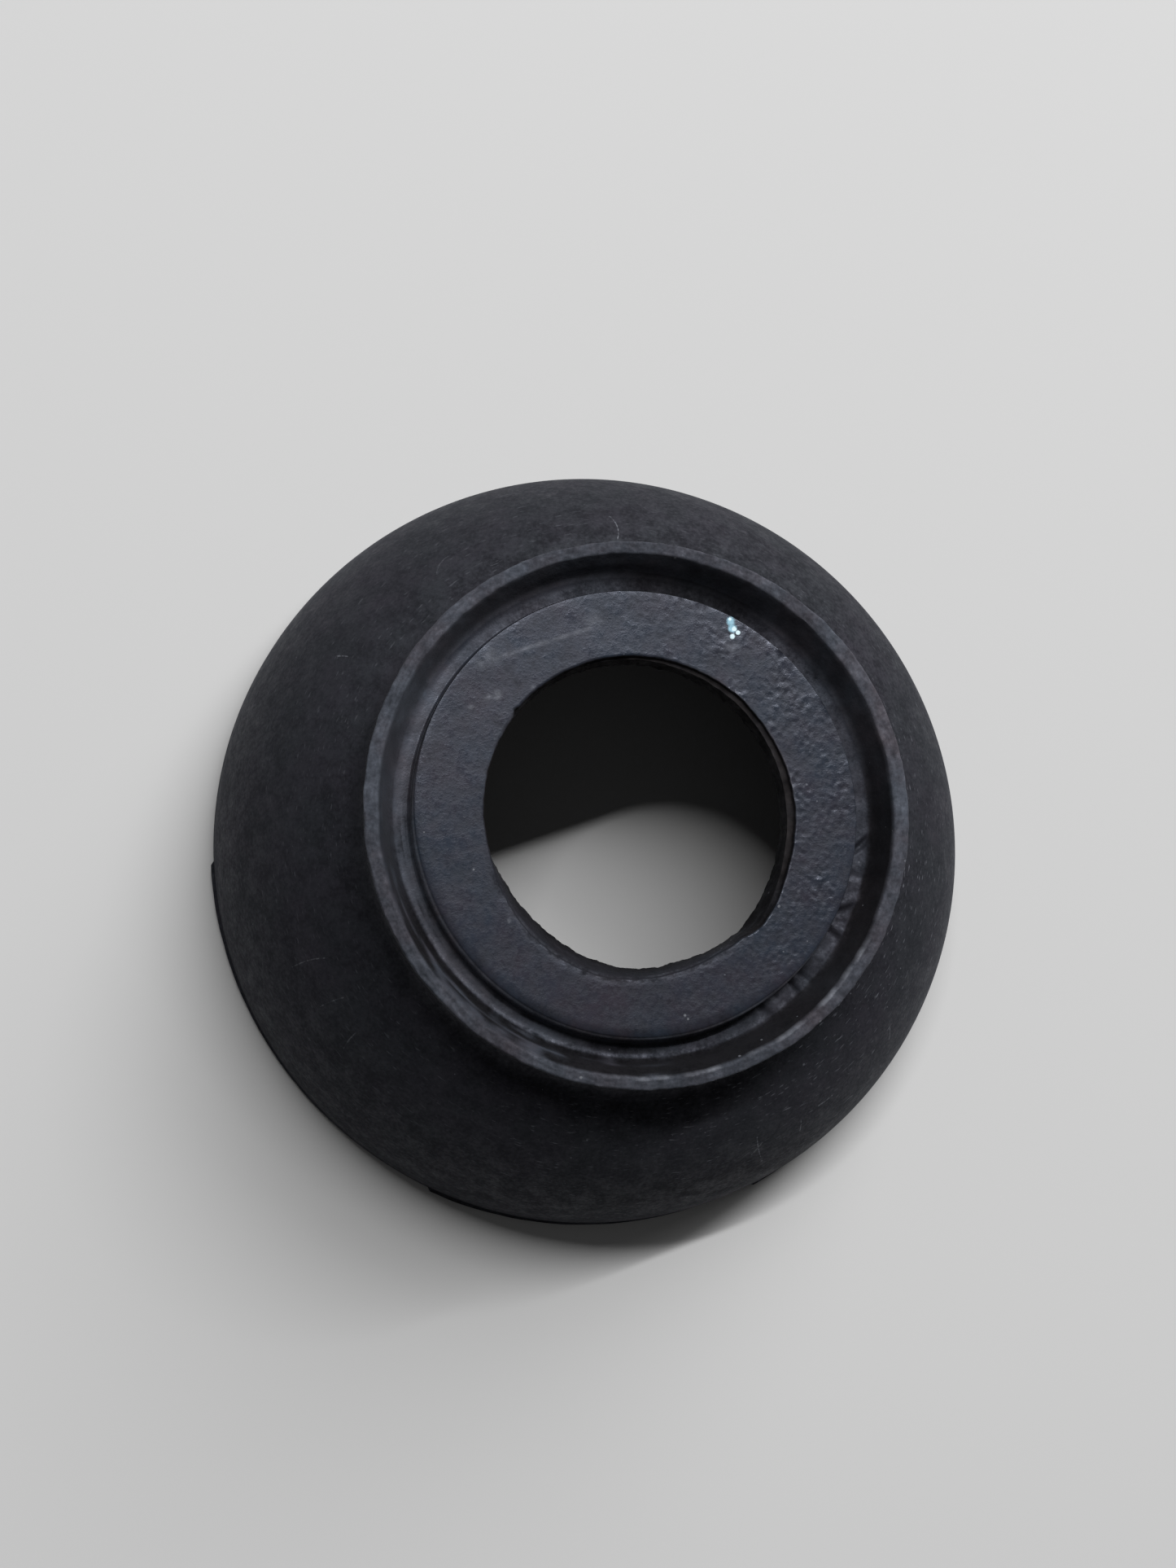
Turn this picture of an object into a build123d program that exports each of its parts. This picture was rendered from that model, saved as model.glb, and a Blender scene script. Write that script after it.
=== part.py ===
"""Dust boot for a tie rod end: one moulded rubber bell with a sealing collar round its stud hole.

Millimetres. The origin is the middle of the wide end, where the boot lies on a table, and +Z runs up
the boot's axis to the collar. The section is drawn once, as radius and height, and turned about it.
"""
import os
from math import sqrt

from build123d import *

# Stud hole, and the flat land round it, a little lower than the lip
stud_hole_radius = 7.6
land_width = 3.2
land_recess = 0.5
land_thickness = 1.5
land_edge_bevel = 0.2

# Groove behind the lip, narrower at its floor than at its mouth
groove_depth = 1.5
groove_inner_draft = 0.33
groove_floor_width = 0.75
groove_outer_draft = 0.78

# Sealing lip at the top of the collar, and the neck that it flares from
lip_width = 0.64
lip_edge_bevel = 0.1
lip_flare = 0.3
collar_height = 2.55
neck_fillet_radius = 1.2

# Bell skirt: a quarter ellipse, upright at the rim and level a little inside the neck
rim_radius = 20.0
rim_edge_bevel = 0.25
skirt_height = 11.85
skirt_wall = 1.9
crown_inset = 2.0

# Bead inside the wide end, which grips the joint's housing
rim_width = 3.8
mouth_length = 2.4
mouth_lead_in = 0.4
bead_edge_bevel = 0.3
bead_rise = 1.35

# Hollow: three tapers that follow the skirt, then a cone up to a level seat under the land
hollow_shares = (0, 0.4, 0.75, 1)
seat_width = 0.7

# Tears where the hole was trimmed by hand: azimuth in degrees, depth and width
trim_tears = ((-42, 0.5, 1.0), (142, 0.25, 0.5))
trim_tear_height = 0.9

# Moulding flash along the rim: azimuths in degrees of each strip's flush end and broken end
flash_spans = ((-50, -64), (-65, -115), (-125, -176))
flash_proud = 0.25
flash_thickness = 0.35
flash_root = 0.6

# Rings and levels that follow from these
land_radius = stud_hole_radius + land_width
groove_inner_radius = land_radius + groove_inner_draft
groove_outer_radius = groove_inner_radius + groove_floor_width
lip_inner_radius = groove_outer_radius + groove_outer_draft
lip_outer_radius = lip_inner_radius + lip_width
neck_radius = lip_outer_radius - lip_flare
crown_radius = neck_radius - crown_inset
cavity_radius = rim_radius - skirt_wall
mouth_radius = rim_radius - rim_width
bead_top = mouth_length + bead_rise
seat_radius = stud_hole_radius + seat_width
boot_height = skirt_height + collar_height
groove_floor = boot_height - groove_depth
land_level = boot_height - land_recess
land_underside = land_level - land_thickness
cavity_height = skirt_height - skirt_wall
neck_foot = skirt_height * sqrt(1 - (crown_inset / (rim_radius - crown_radius)) ** 2)


def corner(radius, height):
    """The section's corner nearest to a point."""
    return vertices().sort_by_distance((radius, height))[0]


def polar(radius, azimuth):
    """A point on a circle about the boot's axis."""
    return Vector(radius, 0).rotate(Axis.Z, azimuth)


os.makedirs("parts", exist_ok=True)

with BuildPart() as dust_boot:
    with BuildSketch(Plane.XZ):
        # Outside of the bell, filled in to the axis
        with BuildLine():
            skirt = EllipticalCenterArc((crown_radius, 0), rim_radius - crown_radius, skirt_height)
            Polyline(skirt @ 1, (0, skirt_height), (0, 0), (rim_radius, 0))
        make_face()

        # Collar, filled in to the axis
        with BuildLine():
            Polyline(
                (0, 0),
                (neck_radius, 0),
                (neck_radius, neck_foot),
                (lip_outer_radius, boot_height),
                (0, boot_height),
                close=True,
            )
        make_face()

        # Hollow under the skirt, up to the land's underside
        with BuildLine():
            wall = EllipticalCenterArc(
                (crown_radius, 0),
                cavity_radius - crown_radius,
                cavity_height,
                mode=Mode.PRIVATE,
            )
            tapers = [wall @ share for share in hollow_shares]
            Polyline(
                *tapers,
                (seat_radius, land_underside),
                (0, land_underside),
                (0, 0),
                close=True,
            )
        make_face(mode=Mode.SUBTRACT)

        # Bead inside the wide end
        with BuildLine():
            Polyline(
                (mouth_radius, 0),
                (cavity_radius, 0),
                (cavity_radius, bead_top),
                (mouth_radius, mouth_length),
                close=True,
            )
        make_face()

        # Land's recess, and the groove behind the lip
        with BuildLine():
            Polyline(
                (0, boot_height),
                (0, land_level),
                (land_radius, land_level),
                (groove_inner_radius, groove_floor),
                (groove_outer_radius, groove_floor),
                (lip_inner_radius, boot_height),
                close=True,
            )
        make_face(mode=Mode.SUBTRACT)

        # Stud hole
        with BuildLine():
            Polyline(
                (0, 0),
                (stud_hole_radius, 0),
                (stud_hole_radius, boot_height),
                (0, boot_height),
                close=True,
            )
        make_face(mode=Mode.SUBTRACT)

        # Moulded edges
        fillet(corner(neck_radius, neck_foot), neck_fillet_radius)
        chamfer(corner(mouth_radius, 0), mouth_lead_in)
        chamfer(corner(mouth_radius, mouth_length), bead_edge_bevel)
        chamfer(corner(land_radius, land_level), land_edge_bevel)
        for ring in (lip_inner_radius, lip_outer_radius):
            chamfer(corner(ring, boot_height), lip_edge_bevel)
    revolve(axis=Axis.Z)
    rim = edges().group_by(Axis.Z)[0].sort_by(SortBy.RADIUS)[-1]
    chamfer(rim, rim_edge_bevel)

    # Tears in the hole's edge, down from the land's top
    with BuildSketch(Plane.XY.offset(land_level)):
        for azimuth, tear_depth, tear_width in trim_tears:
            with PolarLocations(stud_hole_radius, 1, azimuth):
                Ellipse(tear_depth, tear_width / 2)
    extrude(amount=-trim_tear_height, mode=Mode.SUBTRACT)

    # Flash: thin crescents that grow from flush to proud and then break off
    with BuildSketch(Plane.XY.offset(rim_edge_bevel)):
        for flush_end, broken_end in flash_spans:
            middle = (flush_end + broken_end) / 2
            with BuildLine():
                edge = ThreePointArc(
                    polar(rim_radius, flush_end),
                    polar(rim_radius + flash_proud / 2, middle),
                    polar(rim_radius + flash_proud, broken_end),
                )
                root = ThreePointArc(
                    polar(rim_radius - flash_root, flush_end),
                    polar(rim_radius - flash_root, middle),
                    polar(rim_radius - flash_root, broken_end),
                )
                Line(edge @ 0, root @ 0)
                Line(edge @ 1, root @ 1)
            make_face()
    extrude(amount=flash_thickness)

dust_boot.part.label = "dust_boot"
export_step(dust_boot.part, "parts/dust_boot.step")
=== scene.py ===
from math import atan2, cos, pi, radians, sin

import bpy
import numpy as np
from mathutils import Matrix, Vector, noise


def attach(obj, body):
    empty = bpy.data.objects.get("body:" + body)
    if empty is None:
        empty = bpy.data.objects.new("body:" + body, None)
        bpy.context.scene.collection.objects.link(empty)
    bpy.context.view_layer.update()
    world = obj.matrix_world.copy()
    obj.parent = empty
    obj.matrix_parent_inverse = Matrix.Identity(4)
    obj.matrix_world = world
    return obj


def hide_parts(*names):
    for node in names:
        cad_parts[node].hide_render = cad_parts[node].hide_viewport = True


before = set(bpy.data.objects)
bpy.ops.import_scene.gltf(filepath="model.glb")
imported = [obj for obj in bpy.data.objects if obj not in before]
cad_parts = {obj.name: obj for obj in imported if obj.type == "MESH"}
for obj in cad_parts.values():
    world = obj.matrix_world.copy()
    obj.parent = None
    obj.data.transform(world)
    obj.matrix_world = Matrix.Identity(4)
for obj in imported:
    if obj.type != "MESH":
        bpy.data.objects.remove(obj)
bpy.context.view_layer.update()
scene = bpy.context.scene
scene.view_settings.view_transform = "Standard"
mm = 0.001

# Camera: held by hand about 120 mm above the boot, 14 degrees off its axis towards its near left side.
# Its place and aim come from the ellipses that the rim and the lip make in the picture.
image_height = 1926
focal_pixels = 2670
sensor_height = 36
nearest_seen = 1 * mm
camera_place = Vector((-21.22, -14.98, 115.19)) * mm
camera_right = Vector((0.98337, 0.0, 0.18164))
camera_aim = Vector((0.17943, 0.15565, -0.97138))

bpy.ops.object.camera_add(location=camera_place)
camera = bpy.context.object
camera.name = "camera"
camera.data.sensor_fit = "VERTICAL"
camera.data.sensor_height = sensor_height
camera.data.lens = sensor_height * focal_pixels / image_height
camera.data.clip_start = nearest_seen
camera_axes = Matrix((camera_right, camera_right.cross(camera_aim), -camera_aim))
camera.rotation_euler = camera_axes.transposed().to_euler()
scene.camera = camera

# Table: a plain pale sheet that the boot lies on.
# It is matt, so it takes the soft shadow under the rim and the light that comes through the hole.
table_radius = 1.5
table_corners = 128
table_colour = "#BCBCBC"
table_roughness = 0.9
table_specular = 0.0


def linear(hex_colour):
    """An sRGB hex colour as linear red, green, blue and alpha."""
    channels = [int(hex_colour[i : i + 2], 16) / 255 for i in (1, 3, 5)]
    return [c / 12.92 if c <= 0.04045 else ((c + 0.055) / 1.055) ** 2.4 for c in channels] + [1.0]


def add(tree, kind, inputs=(), **settings):
    """Adds a node with its settings, and sets or links its inputs."""
    node = tree.nodes.new("ShaderNode" + kind)
    for name, value in settings.items():
        setattr(node, name, value)
    for key, value in dict(inputs).items():
        if isinstance(value, bpy.types.NodeSocket):
            tree.links.new(value, node.inputs[key])
        else:
            node.inputs[key].default_value = value
    return node


def new_material(name):
    """An empty node material and its tree."""
    material = bpy.data.materials.new(name)
    material.use_nodes = True
    material.node_tree.nodes.clear()
    return material, material.node_tree


bpy.ops.mesh.primitive_circle_add(vertices=table_corners, radius=table_radius, fill_type="NGON")
table = bpy.context.object
table.name = "table"
sheet, tree = new_material("pale matt sheet")
skin = add(
    tree,
    "BsdfPrincipled",
    {"Base Color": linear(table_colour), "Roughness": table_roughness, "Specular IOR Level": table_specular},
)
add(tree, "OutputMaterial", {"Surface": skin.outputs[0]})
table.data.materials.append(sheet)

# Light: one long soft strip overhead, beyond the boot and reaching to its right, a broad soft light on
# the far right, and a weak fill all round. The strip is narrow across, so the edge of the hole's shadow
# on the table is crisp on one side and soft on the other.
strip_height = 0.6
strip_away = Vector((-0.341, 0.940, 0))
strip_along = Vector((0.940, 0.341, 0))
strip_offset = 0.281
strip_reach = (-0.13, 0.75)
strip_width = 0.025
strip_power = 6.5
window_azimuth = radians(60)
window_zenith = radians(56)
window_distance = 1.0
window_size = 0.7
window_power = 7.5
fill_strength = 0.075

strip_middle = strip_away * strip_offset + strip_along * sum(strip_reach) / 2
bpy.ops.object.light_add(type="AREA", location=(strip_middle.x, strip_middle.y, strip_height))
strip = bpy.context.object
strip.name = "strip_light"
strip.data.shape = "RECTANGLE"
strip.data.size = strip_reach[1] - strip_reach[0]
strip.data.size_y = strip_width
strip.data.energy = strip_power
strip.rotation_euler = (0, 0, atan2(strip_along.y, strip_along.x))

window_aim = Vector(
    (
        sin(window_zenith) * cos(window_azimuth),
        sin(window_zenith) * sin(window_azimuth),
        cos(window_zenith),
    )
)
bpy.ops.object.light_add(type="AREA", location=window_aim * window_distance)
window = bpy.context.object
window.name = "soft_light"
window.data.shape = "SQUARE"
window.data.size = window_size
window.data.energy = window_power
window.rotation_euler = window_aim.to_track_quat("Z", "Y").to_euler()

world = bpy.data.worlds.new("studio")
world.use_nodes = True
tree = world.node_tree
tree.nodes.clear()
background = add(tree, "Background", {"Color": (1, 1, 1, 1), "Strength": fill_strength})
add(tree, "OutputWorld", {"Surface": background.outputs[0]})
scene.world = world

# Dust boot: one piece of black rubber, moulded as a bell with a collar at its narrow end.
# The collar has a thin sealing lip, a groove behind it, and a flat land round the stud hole.
# The hole was trimmed by hand with a knife, and a little flash is left along the rim.

# Sizes on the boot's section, as radius and height in millimetres, and arcs in degrees
hole_radius = 7.6
hole_edge_bevel = 0.06
land_radius = 10.93
land_level = 13.9
land_underside = 12.4
land_round = 0.25
groove_floor = 12.9
groove_inner_radius = 10.99
groove_corner_in, groove_corner_out, groove_corner_rise = 0.03, 0.06, 0.08
groove_round_centre = (11.515, 13.5)
groove_round = 0.6
groove_turn = (270, 332.5)
lip_inner_radius = 12.66
lip_outer_radius = 13.3
lip_level = 14.4
lip_round = 0.07
lip_edge_share = 0.3
neck_centre = (14.29, 12.36)
neck_round = 1.2
neck_turn = (174, 246.6)
crown_radius = 11.0
skirt_radius = 20.0
skirt_height = 11.85
skirt_turn = (71.8, 3.0)
rim_bevel = 0.25
flash_thickness = 0.35
flash_taper = 0.15
mouth_radius = 16.2
mouth_lead_in = 0.4
mouth_length = 2.1
bead_edge = (16.45, 2.6)
hollow_radius = 18.1
hollow_height = 9.95
hollow_turn = (20, 90)
seat_radius = 8.3
ledge_level = 13.68
ledge_step = 0.04

turn_steps = 600
merge_distance = 0.001 * mm
smooth_angle = radians(50)


def arc(centre, across, up, turn, rows, first_rows=1):
    """Corners of an elliptical arc on the section, with first_rows rows on the way to its start."""
    angles = np.radians(np.linspace(*turn, rows))
    counts = [first_rows] + [1] * (rows - 1)
    return [(centre[0] + across * cos(a), centre[1] + up * sin(a), n) for a, n in zip(angles, counts)]


# The section's corners in order, each with the number of rows on the way to it
section = [
    (hole_radius, land_underside, 0),
    (hole_radius, ledge_level, 6),
    (hole_radius, ledge_level + ledge_step, 1),
    (hole_radius, land_level - hole_edge_bevel, 2),
    (hole_radius + hole_edge_bevel, land_level, 1),
    *arc((land_radius - land_round, land_level - land_round), land_round, land_round, (90, 10), 6, 32),
    (groove_inner_radius - groove_corner_in, groove_floor + groove_corner_rise, 4),
    (groove_inner_radius + groove_corner_out, groove_floor, 1),
    *arc(groove_round_centre, groove_round, groove_round, groove_turn, 7, 6),
    (lip_inner_radius - lip_round / 2, lip_level - lip_round, 6),
    (lip_inner_radius, lip_level - lip_round * lip_edge_share, 1),
    (lip_inner_radius + lip_round, lip_level, 1),
    (lip_outer_radius - lip_round, lip_level, 7),
    (lip_outer_radius - lip_round * lip_edge_share, lip_level - lip_round * lip_edge_share, 1),
    (lip_outer_radius, lip_level - lip_round, 1),
    *arc(neck_centre, neck_round, neck_round, neck_turn, 8, 5),
    *arc((crown_radius, 0), skirt_radius - crown_radius, skirt_height, skirt_turn, 36),
    (skirt_radius, rim_bevel + flash_thickness, 1),
    (skirt_radius, rim_bevel + flash_thickness * (1 - flash_taper), 1),
    (skirt_radius, rim_bevel + flash_thickness * flash_taper, 1),
    (skirt_radius, rim_bevel, 1),
    (skirt_radius - rim_bevel, 0, 2),
    (mouth_radius + mouth_lead_in, 0, 4),
    (mouth_radius, mouth_lead_in, 1),
    (mouth_radius, mouth_length, 3),
    (*bead_edge, 1),
    *arc((crown_radius, 0), hollow_radius - crown_radius, hollow_height, hollow_turn, 9),
    (seat_radius, land_underside, 4),
    (hole_radius, land_underside, 2),
]

bpy.ops.object.select_all(action="DESELECT")
bpy.ops.mesh.primitive_plane_add(size=mm)
boot = bpy.context.object
boot.name = "rubber_boot"
bpy.ops.object.mode_set(mode="EDIT")
bpy.ops.mesh.merge(type="CENTER")
bpy.ops.transform.translate(value=(section[0][0] * mm, 0, section[0][1] * mm))
for (r0, z0, _), (r1, z1, rows) in zip(section, section[1:]):
    step = ((r1 - r0) * mm / rows, 0, (z1 - z0) * mm / rows)
    for _ in range(rows):
        bpy.ops.mesh.extrude_region_move(TRANSFORM_OT_translate={"value": step})
bpy.ops.mesh.select_all(action="SELECT")
bpy.ops.mesh.remove_doubles(threshold=merge_distance)
bpy.ops.object.mode_set(mode="OBJECT")
turn = boot.modifiers.new("turn", "SCREW")
turn.axis = "Z"
turn.angle = 2 * pi
turn.steps = turn.render_steps = turn_steps
bpy.ops.object.modifier_apply(modifier="turn")
bpy.ops.object.mode_set(mode="EDIT")
bpy.ops.mesh.select_all(action="SELECT")
bpy.ops.mesh.remove_doubles(threshold=merge_distance)
bpy.ops.mesh.normals_make_consistent(inside=False)
bpy.ops.object.mode_set(mode="OBJECT")

# Every point of the turned boot as radius and height in millimetres and azimuth in degrees
points = np.empty(len(boot.data.vertices) * 3)
boot.data.vertices.foreach_get("co", points)
points = points.reshape(-1, 3) / mm
radius = np.hypot(points[:, 0], points[:, 1])
height = points[:, 2].copy()
azimuth = np.degrees(np.arctan2(points[:, 1], points[:, 0])) % 360


def ripple(along, across, shift, where):
    """Smooth noise from -1 to 1 at some points, in grains of so many mm round the boot and across it."""
    a = np.radians(azimuth[where])
    ring = lip_outer_radius / along
    down = (radius[where] - height[where]) / across + shift
    values = np.zeros(len(radius))
    values[where] = [noise.noise(place) for place in zip(ring * np.cos(a), ring * np.sin(a), down)]
    return values


def speckle(size, shift, where):
    """Smooth noise from -1 to 1 at some points, in round grains of so many mm."""
    values = np.zeros(len(radius))
    values[where] = [noise.noise((x / size, y / size, shift)) for x, y, _ in points[where]]
    return values


def near(middle, reach, fade):
    """1 within reach degrees of an azimuth, falling to 0 over fade degrees."""
    away = np.abs((azimuth - middle + 180) % 360 - 180)
    return np.clip((reach + fade - away) / fade, 0, 1)


def between(value, low, high, fade):
    """1 where a value is from low to high, falling to 0 over fade."""
    return np.clip((value - low) / fade + 1, 0, 1) * np.clip((high - value) / fade + 1, 0, 1)


def round_about(*steps):
    """A value given at some azimuths, at every point of the boot."""
    return np.interp(azimuth, *zip(*steps), period=360)


# Parts of the boot's surface, picked by radius and height with a hair or a little more to spare
hair, spare = 0.01, 0.1
lip_foot, lip_reach, lip_wall_gap = groove_floor + 0.9, 0.5, 0.08
floor_top, land_edge_reach = groove_floor + 0.3, 0.3
groove_middle = groove_round_centre[0]
lip_wall_start = groove_middle + 0.2
flash_share = 0.4
bore = (radius < hole_radius + 2 * hair) & (height > land_underside - hair)
land = (height > land_level - hair) & (radius < land_radius) & ~bore
groove = (height > groove_floor - hair) & (radius > land_radius - land_edge_reach) & (radius < lip_inner_radius)
groove &= (height < land_level - hair) | ((radius > groove_middle) & (height < lip_level - lip_wall_gap))
floor = groove & (height < floor_top) & (radius > groove_inner_radius - 2 * hair)
lip_wall = groove & (radius > lip_wall_start)
lip = (height > lip_foot) & (radius > lip_inner_radius - lip_reach) & (radius < lip_outer_radius + spare)
lip_top = lip & (height > lip_level - spare) & (radius < lip_outer_radius + hair)
flash = np.abs(height - rim_bevel - flash_thickness / 2) < flash_thickness * flash_share
flash &= radius > skirt_radius - spare

# Knife cuts round the hole: azimuth, then radius at the land, at a ledge just under it, and at the bottom
cuts = np.array(
    (
        (0, 7.75, 7.40, 7.42),
        (15, 7.70, 7.38, 7.42),
        (30, 7.63, 7.37, 7.42),
        (60, 7.60, 7.38, 7.44),
        (75, 7.60, 7.41, 7.46),
        (90, 7.61, 7.50, 7.50),
        (120, 7.62, 7.60, 7.54),
        (140, 7.63, 7.61, 7.54),
        (142, 7.72, 7.69, 7.52),
        (144.5, 7.54, 7.54, 7.50),
        (165, 7.54, 7.53, 7.48),
        (195, 7.52, 7.50, 7.38),
        (208, 7.66, 7.58, 7.14),
        (225, 7.90, 7.78, 7.10),
        (240, 8.05, 7.92, 7.18),
        (255, 8.15, 8.03, 7.34),
        (268, 8.05, 7.95, 7.48),
        (285, 7.87, 7.78, 7.39),
        (300, 7.78, 7.71, 7.52),
        (309, 7.83, 7.75, 7.60),
        (314, 8.00, 7.87, 7.62),
        (318, 8.10, 7.92, 7.58),
        (326, 8.00, 7.80, 7.48),
        (336, 7.85, 7.62, 7.44),
        (346, 7.77, 7.47, 7.42),
        (360, 7.75, 7.40, 7.42),
    )
)
knife_wobble = 0.03
straight_down = 50
top, ledge, bottom = (np.interp(azimuth, cuts[:, 0], cuts[:, i]) for i in (1, 2, 3))
trimmed = bore | land
top += knife_wobble * (ripple(1.2, straight_down, 5, trimmed) + 0.6 * ripple(0.45, straight_down, 6, trimmed))
bottom += knife_wobble * (2 * ripple(0.9, straight_down, 9, bore) + 1.2 * ripple(0.35, straight_down, 10, bore))
ledge_share = np.clip((height - land_underside) / (ledge_level - land_underside), 0, 1)
cut = np.where(height > ledge_level + ledge_step / 2, top, bottom + (ledge - bottom) * ledge_share)
cut += np.where(height < land_level - spare, knife_wobble * ripple(0.8, 0.25, 2, bore), 0)
land_share = np.clip((land_radius - radius) / (land_radius - hole_radius), 0, 1)
worn_radius = np.where(bore, cut, np.where(land, radius + (top - hole_radius) * land_share, radius))
worn_height = height.copy()

# Hole's near edge, rubbed round
hole_droop, hole_rub_width = 0.05, 0.5
near_side = near(252, 48, 16)
bore_share = (height - land_underside) / (land_level - land_underside)
land_share_rubbed = np.clip(1 - (radius - hole_radius) / hole_rub_width, 0, 1) ** 2
hole_rubbed = np.where(bore, bore_share, np.where(land, land_share_rubbed, 0))
worn_height -= hole_droop * near_side * hole_rubbed

# Land a little off centre towards the near left
land_off_centre, land_way, land_still_radius = 0.07, 215, 9.5
land_foot = groove & (radius < groove_inner_radius + groove_corner_out + 2 * hair)
land_edge_share = np.clip((radius - land_still_radius) / (land_radius - land_still_radius), 0, 1)
land_edge_share *= land | land_foot
worn_radius += land_off_centre * np.cos(np.radians(azimuth - land_way)) * land_edge_share

# Pits in the land, thick and patchy on the right where the mould was rough, and soft waves all over it
pit_depth, pit_size = 0.03, 0.25
wave_depth = 0.012
pitted = near(10, 45, 60) * np.clip(0.6 + 1.4 * speckle(1.6, 14, land), 0, 1)
pits = speckle(pit_size, 3, land) + 0.7 * speckle(pit_size / 2, 4, land)
sunk = pit_depth * pits * pitted + wave_depth * speckle(2.0, 8, land) + wave_depth / 2 * speckle(0.7, 9, land)
worn_height -= np.where(land, sunk, 0)

# Land's outer edge: nearly sharp on the far side, and rubbed down on the near side
sharp_round, edge_droop = 0.07, 0.09
rub_width, rub_fade = 0.7, 0.6
land_edge = (radius > land_radius - land_round - hair / 10) & (radius < land_radius + hair / 10)
land_edge &= height > land_level - land_round - hair / 10
sharper = near(70, 90, 40) * (1 - sharp_round / land_round)
worn_radius += np.where(land_edge, sharper * (land_radius - radius), 0)
worn_height += np.where(land_edge, sharper * (land_level - height), 0)
rubbed = near(240, 50, 40) * np.clip((radius - land_radius + rub_width) / rub_fade, 0, 1) ** 2
worn_height -= np.where(land | land_edge, edge_droop * rubbed, 0)

# Chips torn across the groove's floor on the right, as azimuth, half width in degrees, depth and slant
chips = (
    (303.5, 0.8, 0.06, 2),
    (306.0, 1.1, -0.07, 1),
    (313.2, 0.6, 0.1, -1),
    (314.8, 0.8, -0.1, 0),
    (316.8, 0.5, 0.11, 1),
    (322.0, 1.6, -0.07, 3),
    (330.0, 0.6, 0.08, -2),
    (331.8, 0.8, -0.11, 0),
    (333.4, 0.5, 0.07, 2),
    (336.6, 0.9, 0.1, 4),
    (339.0, 0.9, -0.08, 4),
    (345.8, 0.6, 0.05, 0),
    (353.5, 0.7, 0.2, 5),
)
chip_middle, chip_height = groove_middle - 0.1, 0.2
for middle, reach, depth, slant in chips:
    torn = near(middle + slant * (radius - chip_middle), reach, reach)
    fading = 1 - np.clip((height - groove_floor) / chip_height, 0, 1)
    worn_height -= np.where(floor, depth * torn * fading, 0)
floor_waves = 0.012 + 0.035 * near(328, 30, 20)
worn_height += np.where(floor, floor_waves * ripple(0.9, 0.5, 6, floor), 0)

# Lip: wider on the right than beyond the hole, worn thin on the near side, and uneven,
# with nicks as azimuth, half width in degrees and depth
lip_swell = round_about((0, 0.1), (40, 0.1), (68, -0.06), (105, -0.06), (125, 0), (300, 0), (330, 0.06))
lip_thinning = round_about((0, 0), (180, 0), (235, 0.11), (300, 0.11), (330, 0.04))
lip_wobble, lip_unevenness = 0.045, 0.06
nicks = ((273, 0.5, 0.14), (227, 0.8, 0.05), (318, 0.4, 0.06))
worn_radius += np.where(lip, lip_wobble * (ripple(1.7, 40, 1, lip) + 0.7 * ripple(0.5, 0.6, 7, lip)), 0)
lip_share = np.clip((radius - lip_inner_radius) / (lip_outer_radius - lip_inner_radius), 0, 1)
lip_rise = np.clip((height - lip_foot) / lip_reach, 0, 1)
worn_radius += np.where(lip, lip_swell * lip_share + lip_thinning * (1 - lip_share) * lip_rise, 0)
worn_height -= np.where(lip_top, lip_unevenness * np.abs(ripple(0.6, 0.3, 11, lip_top)), 0)
for middle, reach, depth in nicks:
    worn_height -= np.where(lip_top, depth * near(middle, reach, reach), 0)

# Flash along the rim: azimuths of each strip's flush end and broken end
flash_spans = ((-50, -64), (-65, -115), (-125, -176))
flash_proud = 0.2
for flush_end, broken_end in flash_spans:
    along = (azimuth - 360 - flush_end) / (broken_end - flush_end)
    ragged = flash_proud * along * (0.85 + 0.15 * ripple(0.7, straight_down, 12, flash))
    worn_radius += np.where(flash & (along > 0) & (along < 1), ragged, 0)

points[:, 0] *= worn_radius / radius
points[:, 1] *= worn_radius / radius
points[:, 2] = worn_height
boot.data.vertices.foreach_set("co", (points * mm).ravel())
boot.data.update()
bpy.ops.object.shade_smooth_by_angle(angle=smooth_angle)


def keep(name, values):
    """Keeps a value from 0 to 1 at each point of the boot for its material to read."""
    layer = boot.data.attributes.new(name, "FLOAT", "POINT")
    layer.data.foreach_set("value", np.clip(values, 0, 1).astype(np.float32))


# Pale bloom: all over the land, in streaks on the groove's floor, and faint on the wall behind the lip; on the
# groove's floor beyond the hole, at azimuths 60 to 100, there is less of it, as painted shadow
floor_bloom_and_shadow = round_about(
    *((0, 0.55), (50, 0.5), (62, 0.15), (88, 0.1), (100, 0.3), (130, 0.6), (150, 1)),
    *((230, 1), (262, 0.5), (280, 0.35), (300, 0.25), (325, 0.25), (345, 0.5)),
)
streaky = near(225, 42, 12)
streaks = ripple(4.0, 0.2, 20, groove) + 0.5 * ripple(1.2, 0.15, 22, groove)
floor_bloom_and_shadow += 1.3 * streaks * streaky
wall_bloom = 0.1 + (0.1 + 0.9 * streaks) * streaky + 0.15 * ripple(0.8, 0.4, 23, lip_wall)
wall_start, wall_wander, wall_fade = 0.04, 0.03, 0.05
climb = height - groove_floor - wall_start + wall_wander * ripple(0.8, 3, 24, groove)
climb = np.clip(climb / wall_fade, 0, 1)
bloom_and_shadow = floor_bloom_and_shadow + (wall_bloom - floor_bloom_and_shadow) * climb
bloom_and_shadow = np.where(radius < groove_inner_radius - 2 * hair, 1, bloom_and_shadow)
bevel_bloom = 0.5 * bore * near_side * bore_share
keep("bloom_and_shadow", np.where(land, 1, np.where(groove, bloom_and_shadow, bevel_bloom)))
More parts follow.
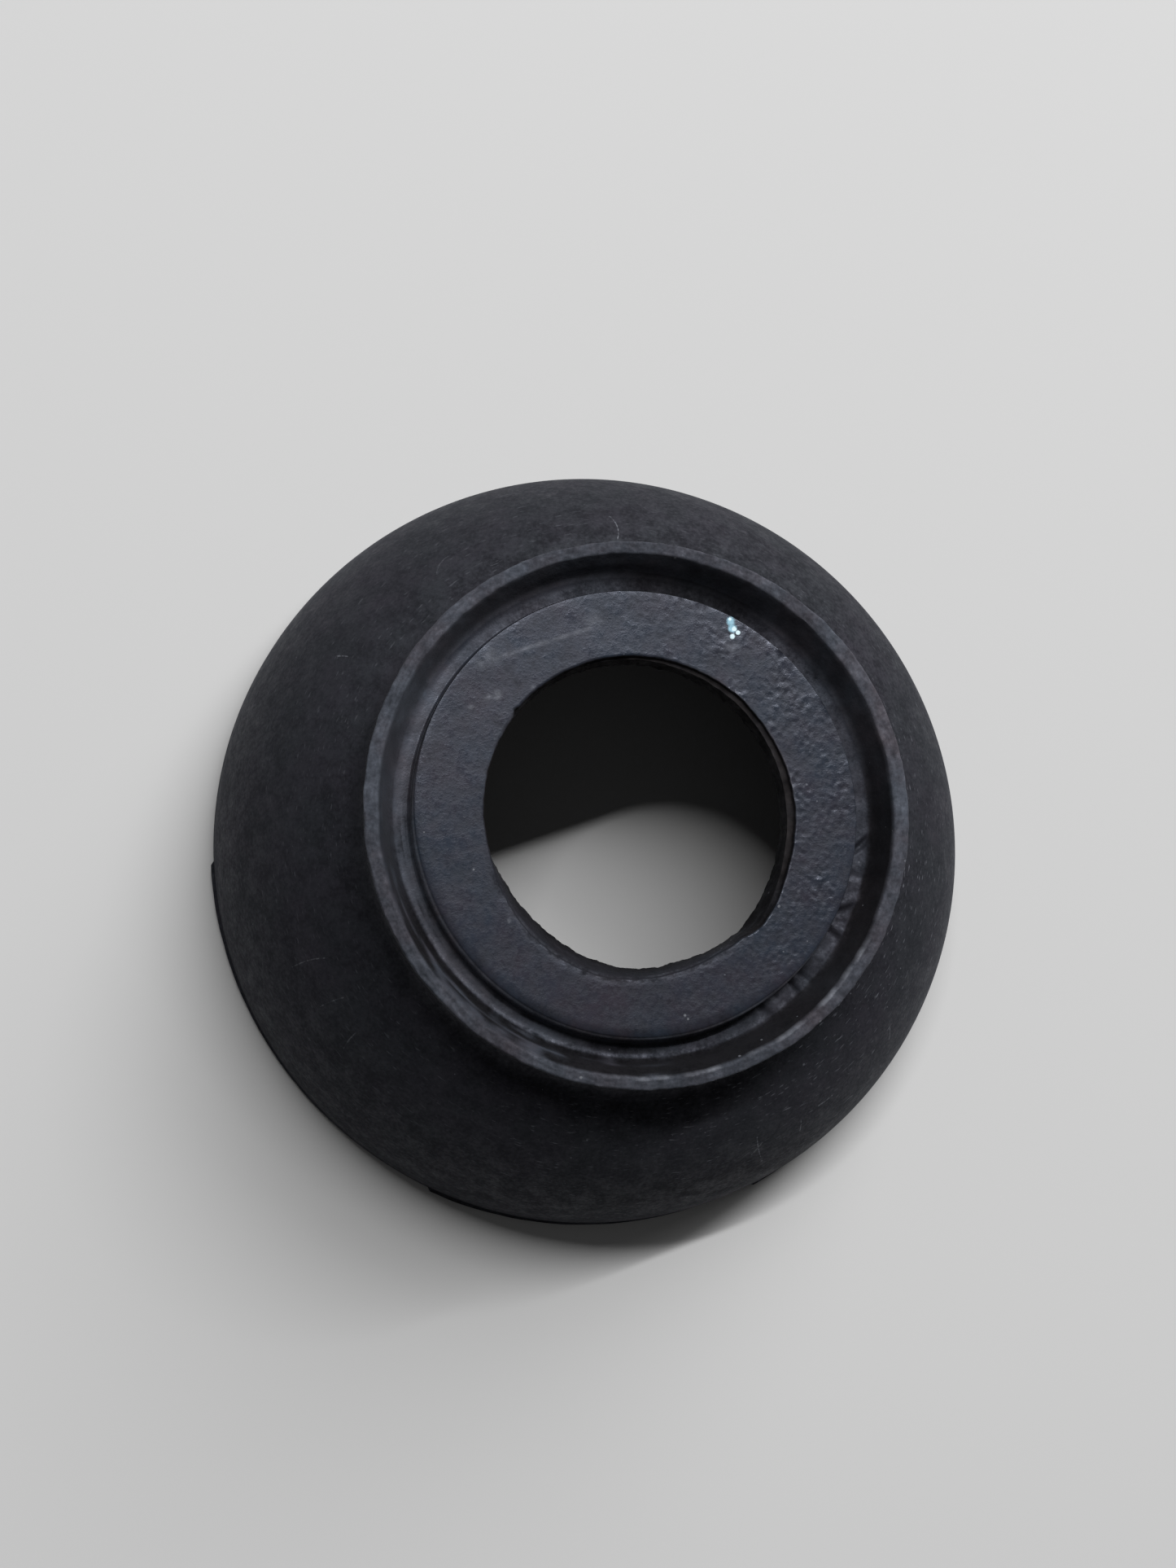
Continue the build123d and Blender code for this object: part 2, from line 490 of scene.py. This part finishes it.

# Wear: on the lip, least on the near side, on the lip's wall and the groove's floor in places, and along the
# hole's far edge;
# painted fill light: the lip's pale colour on the land's near wall and over the far side of the lip's wall, where
# they lie in shade
lip_wear = round_about(
    *((0, 0.85), (50, 0.85), (66, 0.6), (105, 0.6), (120, 0.9)),
    *((180, 0.7), (205, 0.44), (290, 0.44), (340, 0.66)),
)
lip_wear *= 0.85 + 0.5 * ripple(0.4, 0.12, 30, lip_top) + 0.3 * ripple(2.2, 2, 31, lip_top)
band_low, band_high, band_fade = lip_level - 0.6, lip_level - 0.2, 0.15
far_wall = lip_wall * near(100, 13, 7) * between(height, band_low, band_high, band_fade)
edge_width = 0.12
hole_edge = land * np.maximum(near(38, 25, 15), 0.5 * near(160, 14, 6)) * (radius < hole_radius + edge_width)
floor_wear = floor * near(200, 48, 15) * np.clip(0.6 + (0.25 + 0.55 * streaky) * streaks, 0, 1) * (1 - climb)
wall_wear = 0.5 * lip_wall * streaky * np.clip(1.6 * streaks - 0.1, 0, 1) * climb
# Painted fill light: the lip's pale colour on the land's near wall, which lies in shade
land_wall_fill = groove * (radius < groove_inner_radius) * near(245, 60, 30)
# Painted fill light: the lip's pale colour, mottled, over the far side of the lip's inner wall, which lies in
# shade
lip_wall_fill = lip_wall * near(60, 95, 35) * (0.35 + 0.3 * ripple(0.9, 0.4, 25, lip_wall)) * climb
wear_and_fill_places = (hole_edge, far_wall, floor_wear, land_wall_fill, lip_wall_fill, wall_wear)
keep("wear_and_fill", np.where(lip_top, lip_wear, np.max(wear_and_fill_places, axis=0)))

# Cuts and painted shade: the hole's wall; painted shade on the land's near edge by the hole and on its far rim,
# where highlights would be, on the near side of the lip's inner wall, and painted shadow on the groove's floor
# beyond the hole; the ledge under the land and the hole's far wall are dusty
cut_fade = 0.05
bare_wall = 1 - near_side * np.clip(0.1 + 0.6 * bore_share, 0, 1)
hole_wall = bore * between(height, 0, land_level - cut_fade, cut_fade) * bare_wall
hole_wall *= 1 - 0.5 * np.clip(1.5 * ripple(2.5, 0.12, 29, bore), 0, 1)
# Painted shade: the land's near edge by the hole darkened where its highlight would be
near_shade_width, near_shade_most = 0.7, 0.5
near_edge_shade = 0.55 - (radius - hole_radius) / near_shade_width + 0.25 * speckle(0.4, 28, land)
near_edge_shade = land * near_side * np.clip(near_edge_shade, 0, near_shade_most)
# Painted shade: the land's rounded outer rim on the far side darkened in place of its highlight
far_rim_shade = between(height, land_level - land_edge_reach, land_level - hair / 2, hair / 5)
far_rim_shade = groove * (radius < land_radius + 2 * hair) * far_rim_shade * near(100, 60, 30) * 0.7
# Painted shade: the near side of the lip's inner wall, in the groove's corner, darkened except where the pale
# streaks run
unstreaked = np.clip(0.8 - 2.5 * np.clip(streaks, 0, 1) * streaky, 0, 1)
lip_wall_shade = lip_wall * near(285, 75, 25) * unstreaked * climb
# Painted shadow: the cuts' black over the groove's floor beyond the hole, around azimuth 75
far_floor_shadow = floor * near(75, 12, 10) * 0.6
keep("cut", np.max((hole_wall, near_edge_shade, far_rim_shade, lip_wall_shade, far_floor_shadow), axis=0))
on_ledge = np.abs(height - ledge_level) < ledge_step / 2
wall_dust = near(95, 95, 20) * np.clip(0.55 + 0.5 * ripple(0.9, 0.3, 26, bore), 0, 1)
ledge_dust = near(30, 40, 25) * on_ledge * np.clip(0.7 + 0.8 * ripple(0.8, 0.2, 27, bore), 0, 1)
keep("dusty_cut", bore * np.maximum(ledge_dust, wall_dust))
keep("pitted", np.where(land, 0.4 + 0.4 * pitted, 0))

# Scuffs: a straight scrape on the land, smudges on it at x, y, radius and strength,
# and the lip's rubbed inner edge
scrape_start, scrape_end, scrape_width = np.array((-7.0, 7.25)), np.array((-2.3, 8.95)), 0.1
smudges = (
    (-6.95, 5.45, 0.26, 1.0),
    (-7.35, 5.3, 0.2, 1.0),
    (-8.2, 4.8, 0.14, 0.8),
    (-5.2, 5.9, 0.12, 0.7),
    (-7.2, 7.3, 0.45, 0.6),
    (-7.7, 6.9, 0.3, 0.45),
    (-2.2, 9.3, 0.5, 0.45),
    (4.6, 8.3, 0.5, 0.35),
    (-6.3, -5.4, 0.1, 0.8),
    (7.9, -3.7, 0.1, 0.8),
)
flat = points[:, :2]
run = scrape_end - scrape_start
share = np.clip(((flat - scrape_start) @ run) / (run @ run), 0, 1)
gap = np.hypot(*(flat - scrape_start - share[:, None] * run).T)
scuff = 0.5 * np.clip(1.5 - gap / scrape_width, 0, 1) * np.clip(0.6 + ripple(0.5, 0.5, 40, land), 0, 1)
smear = np.clip(0.75 + ripple(0.3, 0.3, 41, land), 0, 1)
for x, y, reach, strength in smudges:
    spread = np.clip(1.2 - np.hypot(flat[:, 0] - x, flat[:, 1] - y) / reach, 0, 1)
    scuff = np.maximum(scuff, strength * spread * smear)
lip_edge = lip_top & (radius < lip_inner_radius + edge_width)
rubbed_edge = 0.35 + 0.9 * ripple(0.7, 5, 42, lip_edge) + 0.4 * ripple(0.25, 0.1, 43, lip_edge)
rubbed_edge = near(300, 28, 12) * np.clip(rubbed_edge, 0, 0.8)
keep("scuff", np.where(land, scuff, np.where(lip_edge, rubbed_edge, 0)))

# Black rubber, moulded matt and handled: dull charcoal on the skirt, with a fine grain and dust in it, a bluish
# bloom on the land, a pale scuffed lip, whose colour is also painted fill light on shaded walls in the groove,
# and brown to black in the cuts of the hole, whose black is also painted shade in the groove and at the land's
# edges
skirt_colours = ("#191A1D", "#1B191E")
bloom_colours = ("#1C2129", "#221F25")
lip_colours = ("#41454D", "#464247")
cut_and_shade_colours = ("#0B0A0B", "#2B292A")
dust_colour = "#5A5C62"
lint_colour = "#777A80"
fleck_colours = ("#7FA8B8", "#CCE2E8", "#5C5E62")
rubber_specular = 0.33
rubber_tint, cut_tint = "#E6ECFF", "#5A5656"
rubber_sheen = 0.03
sheen_roughness = 0.45
sheen_tint = "#C8CCD8"
skirt_roughness = 0.85
land_roughness = 0.38
cut_roughness = 0.85

rubber, tree = new_material("moulded black rubber")
object_place = add(tree, "TexCoord").outputs["Object"]
place = add(tree, "VectorMath", {0: object_place, "Scale": 1 / mm}, operation="SCALE").outputs[0]
marks = ("bloom_and_shadow", "wear_and_fill", "cut", "dusty_cut", "pitted", "scuff")
bloom_and_shadow, wear_and_fill, cut_and_shade_mark, dusty_cut, pitted_mark, scuff_mark = (
    add(tree, "Attribute", attribute_name=name).outputs["Fac"] for name in marks
)

# Blotches some millimetres across, a mottle about a millimetre across with finer spots in it, and a grain
# that is just coarse enough to show: size in mm, detail and roughness
blotch_kind, mottle_kind, grain_kind = (3.5, 6.0, 0.65), (1.1, 5.0, 0.72), (0.2, 3.0, 0.6)
noise_low, noise_high = 0.3, 0.7
hue_low, hue_high = 0.4, 0.66
blotch, mottle, grain = (
    add(tree, "TexNoise", {"Vector": place, "Scale": 1 / size, "Detail": detail, "Roughness": rough}).outputs[0]
    for size, detail, rough in (blotch_kind, mottle_kind, grain_kind)
)
hue = add(tree, "MapRange", {"Value": blotch, "From Min": hue_low, "From Max": hue_high}).outputs[0]

skirt_colour, bloom_colour, lip_colour = (
    add(tree, "Mix", {0: hue, 6: linear(blue), 7: linear(mauve)}, data_type="RGBA").outputs[2]
    for blue, mauve in (skirt_colours, bloom_colours, lip_colours)
)
cut_and_shade_colour = add(
    tree, "Mix", {0: dusty_cut, 6: linear(cut_and_shade_colours[0]), 7: linear(cut_and_shade_colours[1])}, data_type="RGBA"
).outputs[2]
colour = skirt_colour
# The cut mark also lays the cuts' black as painted shade, and the wear mark lays the lip's colour as painted fill
# light
for amount, next_colour in (
    (bloom_and_shadow, bloom_colour),
    (wear_and_fill, lip_colour),
    (cut_and_shade_mark, cut_and_shade_colour),
    (scuff_mark, linear(dust_colour)),
):
    colour = add(tree, "Mix", {0: amount, 6: colour, 7: next_colour}, data_type="RGBA").outputs[2]

# Mottle and grain make the colour darker or lighter, and the mottle shows most on the bloom
mottle_darkest, grain_darkest, skirt_mottle = 0.4, 0.85, 0.6
gains = [
    add(
        tree,
        "MapRange",
        {"Value": value, "From Min": noise_low, "From Max": noise_high, "To Min": low, "To Max": 2 - low},
    ).outputs[0]
    for value, low in ((mottle, mottle_darkest), (grain, grain_darkest))
]
mottled = add(tree, "MapRange", {"Value": bloom_and_shadow, "To Min": skirt_mottle, "To Max": 1}).outputs[0]
gains[0] = add(tree, "Mix", {0: mottled, 2: 1.0, 3: gains[0]}, data_type="FLOAT").outputs[0]
gain = add(tree, "Math", {0: gains[0], 1: gains[1]}, operation="MULTIPLY").outputs[0]
colour = add(tree, "VectorMath", {0: colour, "Scale": gain}, operation="SCALE").outputs[0]

# Which way a point lies from the boot's axis, how far, and how near it is to the near right side
flat_place = add(tree, "VectorMath", {0: place, 1: (1, 1, 0)}, operation="MULTIPLY").outputs[0]
outward = add(tree, "VectorMath", {0: flat_place}, operation="NORMALIZE").outputs[0]
ring = add(tree, "VectorMath", {0: flat_place}, operation="LENGTH").outputs["Value"]
level = add(tree, "SeparateXYZ", {0: place}).outputs["Z"]
dusty_azimuth = radians(320)
dusty_way = (cos(dusty_azimuth), sin(dusty_azimuth), 0)
dusty = add(tree, "VectorMath", {0: outward, 1: dusty_way}, operation="DOT_PRODUCT").outputs["Value"]
dusty = add(
    tree, "MapRange", {"Value": dusty, "From Min": 0.2, "From Max": 0.95, "To Min": 0.35, "To Max": 1.0}
).outputs[0]

# Dust: one speck in each cell, of a radius between nothing and the largest, in mm
dust_cell, dust_radius, dust_strength = 0.6, 0.07, 0.7
cells = add(tree, "TexVoronoi", {"Vector": place, "Scale": 1 / dust_cell})
cell_draw = add(tree, "SeparateColor", {"Color": cells.outputs["Color"]}).outputs[0]
speck_reach = add(
    tree,
    "MapRange",
    {"Value": cell_draw, "From Min": 0.45, "From Max": 1.0, "To Min": 0, "To Max": dust_radius / dust_cell},
).outputs[0]
clusters = add(
    tree, "MapRange", {"Value": mottle, "From Min": 0.38, "From Max": 0.56, "To Min": 0.3, "To Max": 1.2}
).outputs[0]
for amount in (dusty, clusters):
    speck_reach = add(tree, "Math", {0: speck_reach, 1: amount}, operation="MULTIPLY").outputs[0]
speck = add(tree, "Math", {0: cells.outputs["Distance"], 1: speck_reach}, operation="LESS_THAN").outputs[0]
speck = add(tree, "Math", {0: speck, 1: dust_strength}, operation="MULTIPLY").outputs[0]
colour = add(tree, "Mix", {0: speck, 6: colour, 7: linear(dust_colour)}, data_type="RGBA").outputs[2]

# Scuffs that run round the skirt, thick on the near right: length and width in mm about the skirt's middle
scuff_length, scuff_width, skirt_middle = 0.5, 0.12, 16
down = add(tree, "Math", {0: ring, 1: level}, operation="SUBTRACT").outputs[0]
down = add(tree, "Math", {0: down, 1: scuff_width}, operation="DIVIDE").outputs[0]
around = add(tree, "VectorMath", {0: outward, "Scale": skirt_middle / scuff_length}, operation="SCALE").outputs[0]
down = add(tree, "CombineXYZ", {2: down}).outputs[0]
lane = add(tree, "VectorMath", {0: around, 1: down}, operation="ADD").outputs[0]
dashes = add(tree, "TexNoise", {"Vector": lane, "Scale": 1.0, "Detail": 1.0}).outputs[0]
dashes = add(tree, "MapRange", {"Value": dashes, "From Min": 0.66, "From Max": 0.8}).outputs[0]
outside_start, outside_end = lip_outer_radius + 0.2, lip_outer_radius + 0.6
outside = add(tree, "MapRange", {"Value": ring, "From Min": outside_start, "From Max": outside_end}).outputs[0]
for amount in (dusty, outside):
    dashes = add(tree, "Math", {0: dashes, 1: amount}, operation="MULTIPLY").outputs[0]
colour = add(tree, "Mix", {0: dashes, 6: colour, 7: linear(dust_colour)}, data_type="RGBA").outputs[2]

# Lint and scratches on the skirt, broken by the grain: azimuth and radius of both ends,
# the radius that they curve at, and strength
broken = add(
    tree, "MapRange", {"Value": grain, "From Min": 0.42, "From Max": 0.55, "To Min": 0.15, "To Max": 1}
).outputs[0]
strands = (
    (92.0, 14.2, 92.6, 15.7, 1.4, 0.5),
    (123.8, 15.95, 128.0, 15.45, 1.4, 0.15),
    (205.4, 16.2, 204.3, 17.7, 3.0, 0.3),
    (212.8, 16.3, 212.0, 17.4, 4.0, 0.3),
    (218.8, 16.7, 219.6, 17.6, 2.0, 0.25),
    (150.2, 15.9, 150.8, 16.4, 3.0, 0.4),
    (294.3, 17.0, 294.8, 18.2, 3.0, 0.5),
    (293.0, 17.8, 295.2, 17.4, 3.0, 0.35),
    (302.2, 18.0, 302.8, 17.4, 2.0, 0.45),
    (306.4, 17.35, 309.6, 17.4, 8.0, 0.5),
    (323.6, 17.8, 324.8, 17.3, 2.0, 0.4),
)
strand_half_width = 0.028


def skirt_point(turned, reach):
    """A point on the skirt, from its azimuth in degrees and its radius."""
    share = (reach - crown_radius) / (skirt_radius - crown_radius)
    rise = skirt_height * (1 - share**2) ** 0.5
    return Vector((reach * cos(radians(turned)), reach * sin(radians(turned)), rise))


for start_azimuth, start_radius, end_azimuth, end_radius, bow, strength in strands:
    start, end = skirt_point(start_azimuth, start_radius), skirt_point(end_azimuth, end_radius)
    middle, run = (start + end) / 2, (end - start).to_2d()
    bow_centre = middle.to_2d() + run.orthogonal().normalized() * (bow**2 - (run.length / 2) ** 2) ** 0.5
    off = add(tree, "VectorMath", {0: flat_place, 1: (*bow_centre, 0)}, operation="DISTANCE").outputs["Value"]
    off = add(tree, "Math", {0: off, 1: bow, 2: strand_half_width}, operation="COMPARE").outputs[0]
    far = add(tree, "VectorMath", {0: place, 1: middle}, operation="DISTANCE").outputs["Value"]
    far = add(tree, "Math", {0: far, 1: (end - start).length / 2}, operation="LESS_THAN").outputs[0]
    line = add(tree, "Math", {0: off, 1: far}, operation="MULTIPLY").outputs[0]
    for amount in (strength, broken):
        line = add(tree, "Math", {0: line, 1: amount}, operation="MULTIPLY").outputs[0]
    colour = add(tree, "Mix", {0: line, 6: colour, 7: linear(lint_colour)}, data_type="RGBA").outputs[2]

# Fleck of pale paint on the land, in joined spots, and grit here and there:
# azimuth, radius, height, size and which of the fleck colours
flecks = (
    (64.2, 10.62, land_level, 0.26, 0),
    (63.0, 10.35, land_level, 0.24, 0),
    (64.6, 10.7, land_level, 0.1, 1),
    (62.4, 10.36, land_level, 0.13, 1),
    (61.0, 10.3, land_level, 0.12, 1),
    (61.9, 9.97, land_level, 0.14, 1),
    (200.5, 8.55, land_level, 0.06, 2),
    (187.0, 10.45, land_level, 0.05, 2),
    (282.6, 10.0, land_level, 0.08, 2),
    (283.2, 10.2, land_level, 0.06, 2),
    (327.0, 8.2, land_level, 0.07, 2),
    (257.0, 13.05, lip_level, 0.08, 2),
    (82.0, 12.65, lip_level - 0.1, 0.08, 2),
    (311.0, 13.3, lip_level, 0.08, 2),
)
for turned, reach, rise, size, tone in flecks:
    spot_place = (reach * cos(radians(turned)), reach * sin(radians(turned)), rise)
    spot = add(tree, "VectorMath", {0: place, 1: spot_place}, operation="DISTANCE").outputs["Value"]
    spot = add(tree, "MapRange", {"Value": spot, "From Min": size * 1.6, "From Max": size * 0.4}).outputs[0]
    spot = add(tree, "Math", {0: spot, 1: grain}, operation="ADD").outputs[0]
    spot = add(tree, "MapRange", {"Value": spot, "From Min": 0.95, "From Max": 1.35}).outputs[0]
    colour = add(tree, "Mix", {0: spot, 6: colour, 7: linear(fleck_colours[tone])}, data_type="RGBA").outputs[2]

# Gloss: dull on the skirt, in the cuts and where shade is painted, glossier on the bloom, and uneven with the
# mottle and grain
mottle_dullest, grain_dullest = 1.35, 1.3
roughness = add(
    tree, "MapRange", {"Value": bloom_and_shadow, "To Min": skirt_roughness, "To Max": land_roughness}
).outputs[0]
roughness = add(tree, "Mix", {0: cut_and_shade_mark, 2: roughness, 3: cut_roughness}, data_type="FLOAT").outputs[0]
for value, dullest in ((mottle, mottle_dullest), (grain, grain_dullest)):
    gloss = add(
        tree,
        "MapRange",
        {"Value": value, "From Min": noise_low, "From Max": noise_high, "To Min": dullest, "To Max": 2 - dullest},
    ).outputs[0]
    gloss = add(tree, "Mix", {0: mottled, 2: 1.0, 3: gloss}, data_type="FLOAT").outputs[0]
    roughness = add(tree, "Math", {0: roughness, 1: gloss}, operation="MULTIPLY").outputs[0]
tint = add(
    tree, "Mix", {0: cut_and_shade_mark, 6: linear(rubber_tint), 7: linear(cut_tint)}, data_type="RGBA"
).outputs[2]

# Grain all over, and the mottle as shallow pits where the land is pitted: strength and depth
grain_strength, grain_depth = 0.6, 0.02 * mm
pits_strength, pits_depth = 0.7, 0.07 * mm
pits_bump = add(tree, "Math", {0: mottle, 1: pitted_mark}, operation="MULTIPLY").outputs[0]
bump = add(tree, "Bump", {"Height": grain, "Strength": grain_strength, "Distance": grain_depth}).outputs[0]
bump = add(
    tree, "Bump", {"Height": pits_bump, "Strength": pits_strength, "Distance": pits_depth, "Normal": bump}
).outputs[0]
skin = add(
    tree,
    "BsdfPrincipled",
    {
        "Base Color": colour,
        "Roughness": roughness,
        "Specular IOR Level": rubber_specular,
        "Specular Tint": tint,
        "Sheen Weight": rubber_sheen,
        "Sheen Roughness": sheen_roughness,
        "Sheen Tint": linear(sheen_tint),
        "Normal": bump,
    },
)
add(tree, "OutputMaterial", {"Surface": skin.outputs[0]})
boot.data.materials.append(rubber)
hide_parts("dust_boot")
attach(boot, "root")
